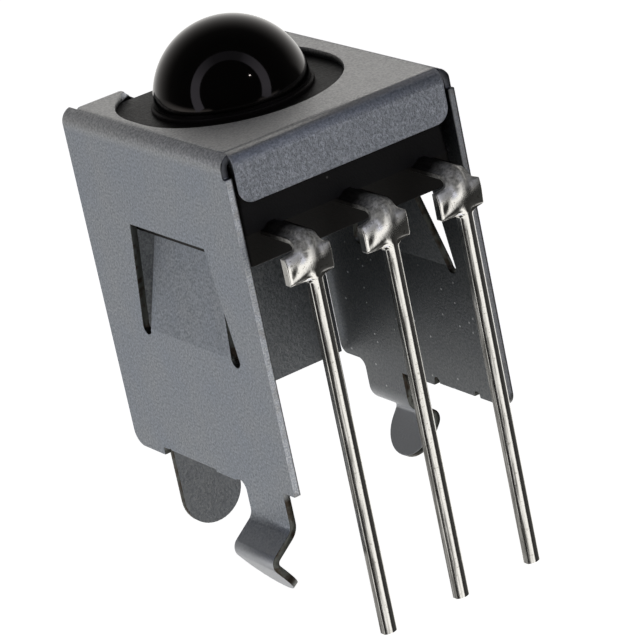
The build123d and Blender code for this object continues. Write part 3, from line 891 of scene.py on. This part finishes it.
sideways = add(MATH, across["X"], half_width, operation="MULTIPLY")
print("steps of the width rule:", len(lead_tree.nodes))

# %% [markdown]
# The tin stands up in a slight crown on the front face, which is why each lead shows a bright
# stripe beside a dark one. In the wing the crest leans from the left at the bottom to the right at
# the top, and past a shallow groove on the left the face rises again to its edge.

# %% Crown of tin
LEAN, LEAN_LOW = 0.75, 0.45
WING_GROOVE, GROOVE_RISE, NO_GROOVE = -1.0, 0.7, -1.2
in_wing = add(MATH, 1.0, above_wing, operation="SUBTRACT")
in_wing = add(MATH, in_wing, below_wing, operation="SUBTRACT")
wing_rise = add(RANGE, spine["Z"], size["Wing bottom"], size["Wing top"])
lean = add(MATH, wing_rise, LEAN, operation="MULTIPLY")
lean = add(MATH, lean, LEAN_LOW, operation="SUBTRACT")
lean = add(MATH, in_wing, lean, operation="MULTIPLY")
groove = add(MATH, wing_rise, GROOVE_RISE, operation="MULTIPLY")
groove = add(MATH, groove, -WING_GROOVE, operation="SUBTRACT")
groove = choose(in_wing, groove, NO_GROOVE)
mirrored = add(MATH, groove, 2.0, operation="MULTIPLY")
mirrored = add(MATH, mirrored, across["X"], operation="SUBTRACT")
from_crest = add(MATH, across["X"], mirrored, operation="MAXIMUM")
from_crest = add(MATH, from_crest, lean, operation="SUBTRACT")
squared = add(MATH, from_crest, from_crest, operation="MULTIPLY")
crown = choose(in_wing, size["Wing crown"], size["Crown"])
crown_drop = add(MATH, crown, squared, operation="MULTIPLY")
print("steps with the crown:", len(lead_tree.nodes))

# %% [markdown]
# Towards the shoulder and the hips the face also falls like a pillow. At the hips the fall is a
# triangle beside the leg that narrows to the wing's corner, so the leg's own crest runs on into
# the wing. The back face stays flat.

# %% Pillow at the shoulder and the hips
HIP_RISE = 0.30
HIP_NARROWING = 0.24
SHOULDER_RISE = 0.45
from_leg = add(MATH, sideways, operation="ABSOLUTE")
half_leg = add(MATH, size["Leg half width"], 0.5, operation="MULTIPLY")
beside_leg = add(RANGE, from_leg, half_leg, size["Leg half width"])
narrowing = add(RANGE, from_leg, size["Leg half width"], wing)
narrowing = add(MATH, narrowing, HIP_NARROWING * MM, operation="MULTIPLY")
hip_top = add(MATH, HIP_RISE * MM, narrowing, operation="SUBTRACT")
hip_top = add(MATH, size["Wing bottom"], hip_top, operation="ADD")
near_hip = add(RANGE, spine["Z"], hip_top, size["Wing bottom"])
not_below = add(MATH, 1.0, below_wing, operation="SUBTRACT")
near_hip = add(MATH, near_hip, not_below, operation="MULTIPLY")
near_hip = add(MATH, near_hip, near_hip, operation="MULTIPLY")
shoulder_foot = add(MATH, size["Wing top"], SHOULDER_RISE * MM, operation="SUBTRACT")
near_shoulder = add(RANGE, spine["Z"], shoulder_foot, size["Wing top"])
near_shoulder = add(MATH, near_shoulder, near_shoulder, operation="MULTIPLY")
near_edge = add(MATH, near_hip, near_shoulder, operation="ADD")
pillow = add(MATH, size["Pillow"], beside_leg, operation="MULTIPLY")
pillow_drop = add(MATH, pillow, near_edge, operation="MULTIPLY")
print("rise of the hips in mm:", HIP_RISE)

# %% [markdown]
# Each point now moves from the spine: sideways by the width rule, and outwards by half the sheet,
# less what the crown and the pillow take off the front. The tree's named inputs then make the
# three leads, which differ only in their place and in the part that is sealed in the block.

# %% Every point in its place
front = add(MATH, across["Y"], 0.0, operation="GREATER_THAN")
drop = add(MATH, crown_drop, pillow_drop, operation="ADD")
drop = add(MATH, front, drop, operation="MULTIPLY")
half_sheet = add(MATH, size["Sheet"], 0.5, operation="MULTIPLY")
outward = add(MATH, half_sheet, drop, operation="SUBTRACT")
outward = add(MATH, across["Y"], outward, operation="MULTIPLY")
facing = add(VECTOR, path.outputs["Along"], (1.0, 0.0, 0.0), operation="CROSS_PRODUCT")
push = add(VECTOR, facing, outward, operation="SCALE")
place = add(VECTOR, path.outputs["Spine"], push, operation="ADD")
place = add(VECTOR, place, add(JOIN, sideways), operation="ADD")
shaped = add("GeometryNodeSetPosition", strip, Position=place)
end_tree(add, shaped, tin)
print("nodes in the lead's tree:", len(lead_tree.nodes))

# %% Three leads from one tree
lead_sizes = {
    "output_lead": {"Place": -PITCH, "Inner left": 0.42, "Inner right": 0.72, "Start": -2.75},
    "ground_lead": {
        "Place": 0.0, "Inner left": 1.40, "Inner right": 1.40, "Start": 1.20, "Inner length": 5.15,
    },
    "supply_lead": {"Place": PITCH, "Inner left": 0.72, "Inner right": 0.42, "Start": -2.75},
}
for node, sizes in lead_sizes.items():
    in_metres = {label: value * MM for label, value in sizes.items()}
    lead = run_tree(lead_tree, "tinned_" + node, in_metres)
    sides = bmesh.new()
    sides.from_mesh(lead.data)
    bmesh.ops.recalc_face_normals(sides, faces=sides.faces)
    sides.to_mesh(lead.data)
    sides.free()
    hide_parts(node)
    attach(lead, "root")
    print(lead.name, "faces:", len(lead.data.polygons))

# %% [markdown]
# ## Sealed pieces
# The chips, their bond layers and the wires are inside the black epoxy and never show, but the
# part keeps them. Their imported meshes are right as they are, so they only get their materials.
# Polished silicon is a dark blue-grey mirror, cured silver paste a dull grey metal with flakes,
# and drawn gold wire a warm yellow metal with fine marks along it.

# %% Materials of the sealed pieces
STAIN, FLAKE, FLAKE_DEPTH, DRAW_MARK = 0.2, 0.02, 0.004, 0.03
silicon, add, place = start_material("polished_silicon")
tone = add(MIX, add(NOISE, place, Scale=1 / STAIN), "#3c4048", "#474b57", data_type="RGBA")
add(OUTPUT, add(SHADER, Base_Color=tone, Metallic=1.0, Roughness=0.12))
paste, add, place = start_material("cured_silver_paste")
flakes = add(NOISE, place, Scale=1 / FLAKE)
tone = add(MIX, flakes, "#8b8a86", "#b9b8b2", data_type="RGBA")
rough_flakes = add(BUMP, Height=flakes, Distance=FLAKE_DEPTH * MM)
add(OUTPUT, add(SHADER, Base_Color=tone, Metallic=1.0, Roughness=0.55, Normal=rough_flakes))
gold, add, place = start_material("drawn_gold_wire")
tone = add(MIX, add(NOISE, place, Scale=1 / DRAW_MARK), "#e0b04a", "#f2c869", data_type="RGBA")
add(OUTPUT, add(SHADER, Base_Color=tone, Metallic=1.0, Roughness=0.22))
sealed = {
    silicon: ("photodiode_chip", "receiver_ic_chip"),
    paste: ("photodiode_die_attach", "ic_die_attach"),
    gold: ("bond_wire_photodiode", "bond_wire_ground", "bond_wire_output", "bond_wire_supply"),
}
for material, nodes in sealed.items():
    for node in nodes:
        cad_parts[node].data.materials.clear()
        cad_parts[node].data.materials.append(material)
print("materials of the sealed pieces:", len(sealed))

# %% [markdown]
# ## Studio
# Metal and gloss show what stands round them, so the room matters more than the lamps. White cards
# could stand in the scene, but each lead would see them from its own place, so the room is painted
# on the world by direction, and all three leads see the same. A ball lens mirrors the whole room,
# and the studio of the photograph was read from it. The part stands on a lit white table. White paper
# behind it fades towards the camera, brighter on the right. The camera's side is dark, and so is
# the table straight below. A dark card at the front right gives each lead its dark stripe, and a
# shade at the front left the fine dark line beside the bright one. To the camera the table and the
# background are white, and the table keeps a soft shadow.

# %% Table of lit white glass
FLOOR_LEVEL = -3.93
FLOOR_REACH = 400.0
# The glow to the part and to the camera. Mirror rays pass the table and see the painted one.
FLOOR_GLOW, FLOOR_GLOW_SEEN = 0.75, 0.93
floor_paint = bpy.data.materials.new("white_table")
add = clear_tree(floor_paint)
seen = add("ShaderNodeLightPath").outputs["Is Camera Ray"]
glow = add(
    "ShaderNodeEmission", Color=(1.0, 1.0, 1.0, 1.0),
    Strength=add(RANGE, seen, 0.0, 1.0, FLOOR_GLOW, FLOOR_GLOW_SEEN),
)
white = add("ShaderNodeBsdfDiffuse", Color="#f2f2f2")
add(OUTPUT, add("ShaderNodeAddShader", white, glow))
work = bmesh.new()
bmesh.ops.create_grid(work, x_segments=1, y_segments=1, size=FLOOR_REACH * MM)
bmesh.ops.translate(work, verts=work.verts, vec=(0, 0, FLOOR_LEVEL * MM))
floor = piece_from(work, "floor")
floor.data.materials.append(floor_paint)
floor.visible_glossy = False
floor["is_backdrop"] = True
print("table level in mm:", FLOOR_LEVEL)

# %% Paper and table by direction
TO_CAMERA = -CAMERA_AHEAD
TO_RIGHT = CAMERA_RIGHT
TO_TOP = -CAMERA_DOWN
PAPER = 1.05
TABLE_FRONT = 1.0
TABLE_BEHIND = 0.32
# Each light starts and is full at the cosine of an angle to the camera, the right or straight up.
PAPER_STARTS, PAPER_FULL = -0.12, -0.88
PAPER_SIDES, PAPER_LEFT, PAPER_RIGHT = (-0.6, 0.6), 0.8, 1.2
HORIZON, STRAIGHT_DOWN = (0.02, -0.08), (-0.78, -0.55)
world = bpy.data.worlds.new("paper_table_and_dark_room")
scene.world = world
add = clear_tree(world)
direction = add("ShaderNodeTexCoord").outputs["Generated"]
height = add(VECTOR, direction, (0, 0, 1), operation="DOT_PRODUCT")
to_camera = add(VECTOR, direction, TO_CAMERA, operation="DOT_PRODUCT")
to_right = add(VECTOR, direction, TO_RIGHT, operation="DOT_PRODUCT")
behind = add(RANGE, to_camera, PAPER_STARTS, PAPER_FULL)
paper = add(MATH, behind, behind, operation="MULTIPLY")
across_paper = add(RANGE, to_right, *PAPER_SIDES, PAPER_LEFT, PAPER_RIGHT)
paper = add(MATH, paper, across_paper, operation="MULTIPLY")
paper = add(MATH, paper, PAPER, operation="MULTIPLY")
below = add(RANGE, height, *HORIZON, interpolation_type="SMOOTHSTEP")
beyond_part = add(RANGE, height, *STRAIGHT_DOWN, interpolation_type="SMOOTHSTEP")
table = add(MATH, below, beyond_part, operation="MULTIPLY")
print("paper and table light:", PAPER, TABLE_FRONT)

# %% Shade, card and the whole room
TO_SHADE = Vector((-0.66, -0.66, -0.36)).normalized()
TO_CARD = Vector((0.835, -0.444, -0.326)).normalized()
SHADE_ANGLES, CARD_ANGLES = (12, 22), (26, 36)
DARK_ROUND_CAMERA = (0.8, 0.72)
DIM_FRONT, DIM_BEHIND = 0.025, 0.05


def away_from(axis, inner, outer):
    """0 within an angle of an axis, and 1 beyond a wider one. Angles in degrees."""
    nearness = add(VECTOR, direction, axis, operation="DOT_PRODUCT")
    edges = cos(radians(inner)), cos(radians(outer))
    return add(RANGE, nearness, *edges, interpolation_type="SMOOTHSTEP")


off_camera = add(RANGE, to_camera, *DARK_ROUND_CAMERA, interpolation_type="SMOOTHSTEP")
off_shade = add(MATH, away_from(TO_SHADE, *SHADE_ANGLES), off_camera, operation="MULTIPLY")
table = add(MATH, table, off_shade, operation="MULTIPLY")
table_light = add(RANGE, to_camera, -0.45, 0.1, TABLE_BEHIND, TABLE_FRONT)
table = add(MATH, table, table_light, operation="MULTIPLY")
lit = add(MATH, paper, table, operation="MAXIMUM")
lit = add(MATH, lit, away_from(TO_CARD, *CARD_ANGLES), operation="MULTIPLY")
dim = add(RANGE, to_camera, 0.2, -0.4, DIM_FRONT, DIM_BEHIND)
room = add("ShaderNodeBackground", "#fffdfa", Strength=add(MATH, lit, dim, operation="ADD"))
backdrop = add("ShaderNodeBackground", (1.0, 1.0, 1.0, 1.0), Strength=1.0)
seen = add("ShaderNodeLightPath").outputs["Is Camera Ray"]
add("ShaderNodeOutputWorld", add("ShaderNodeMixShader", seen, room, backdrop))
print("nodes in the room:", len(world.node_tree.nodes))

# %% [markdown]
# Round the camera stands a ring of light, which the lens shows as a bluish arc. Its inner and
# outer edge and its brightness at each turn were read from the arc, from the right over the top to
# the left. The ring is a strip of faces whose points carry the brightness as an attribute. One
# small bulb gives the lens its bright point.

# %% White ring round the camera
RING_DISTANCE = 330.0
RING_CENTRE = Vector((0, 0, 5))
RING_EDGES = (radians(45), radians(59))
RING_SHIFT = radians(2.2)
RING_LIGHT = 1.1
RING_GLOW = (
    (-8, 0.8), (10, 1.0), (35, 0.9), (50, 0.75), (60, 0.6), (72, 0.37), (78, 0.2), (90, 0.17),
    (120, 0.2), (135, 0.42), (150, 0.65), (165, 0.95), (210, 1.05),
)


def ring_glow(turn):
    """How bright the ring is at a turn in degrees, from the list above."""
    for (start, low), (end, high) in zip(RING_GLOW, RING_GLOW[1:]):
        if turn <= end:
            return low + (high - low) * (turn - start) / (end - start)
    return RING_GLOW[-1][1]


ring_paper = bpy.data.materials.new("lit_ring")
add = clear_tree(ring_paper)
glow = add("ShaderNodeAttribute", attribute_name="glow").outputs["Fac"]
strength = add(MATH, glow, RING_LIGHT, operation="MULTIPLY")
add(OUTPUT, add("ShaderNodeEmission", Color="#e9ecff", Strength=strength))
work = bmesh.new()
glow_layer = work.verts.layers.float.new("glow")
pairs = []
for turn in range(RING_GLOW[0][0], RING_GLOW[-1][0] + 1, 2):
    aside = TO_RIGHT * cos(radians(turn)) + TO_TOP * sin(radians(turn))
    pair = []
    for edge in RING_EDGES:
        reach = edge - RING_SHIFT * cos(radians(turn))
        spot = (TO_CAMERA * cos(reach) + aside * sin(reach)) * RING_DISTANCE + RING_CENTRE
        pair.append(work.verts.new(spot * MM))
        pair[-1][glow_layer] = ring_glow(turn)
    pairs.append(pair)
for first, second in zip(pairs, pairs[1:]):
    work.faces.new((first[0], first[1], second[1], second[0]))
ring = piece_from(work, "lit_ring")
ring.data.materials.append(ring_paper)
ring.visible_camera = False
ring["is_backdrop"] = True
print("ring faces:", len(ring.data.polygons))

# %% Small bulb
BULB_ANGLE = radians(34)
BULB_SIDE, BULB_RISE = 0.72, 0.694
BULB_DISTANCE = 300
BULB_SIZE = 7
BULB_POWER = 0.01
TARGET = Vector((0.0, 0.0, 4.0))
to_bulb = TO_CAMERA * cos(BULB_ANGLE)
to_bulb += (TO_RIGHT * BULB_SIDE + TO_TOP * BULB_RISE) * sin(BULB_ANGLE)
bulb_data = bpy.data.lights.new("small_bulb", "AREA")
bulb_data.energy = BULB_POWER
bulb_data.size = BULB_SIZE * MM
bulb = bpy.data.objects.new("small_bulb", bulb_data)
bulb.location = (TARGET + to_bulb.normalized() * BULB_DISTANCE) * MM
bulb.rotation_euler = (TARGET * MM - bulb.location).to_track_quat("-Z", "Y").to_euler()
scene.collection.objects.link(bulb)
scene.view_settings.view_transform = "Standard"
print("bulb power in watts:", BULB_POWER)

# %% [markdown]
# ## Growth of the size
# The box of the imported model, kept at the start, is set against the box of the finished pieces,
# and how far each side grows is printed.

# %% How far the box grows, and finish
new_low, new_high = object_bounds()
growth = [(b - a) / MM for a, b in zip((*new_low, *cad_high), (*cad_low, *new_high))]
print("box grows by mm:", [round(side, 3) for side in growth])
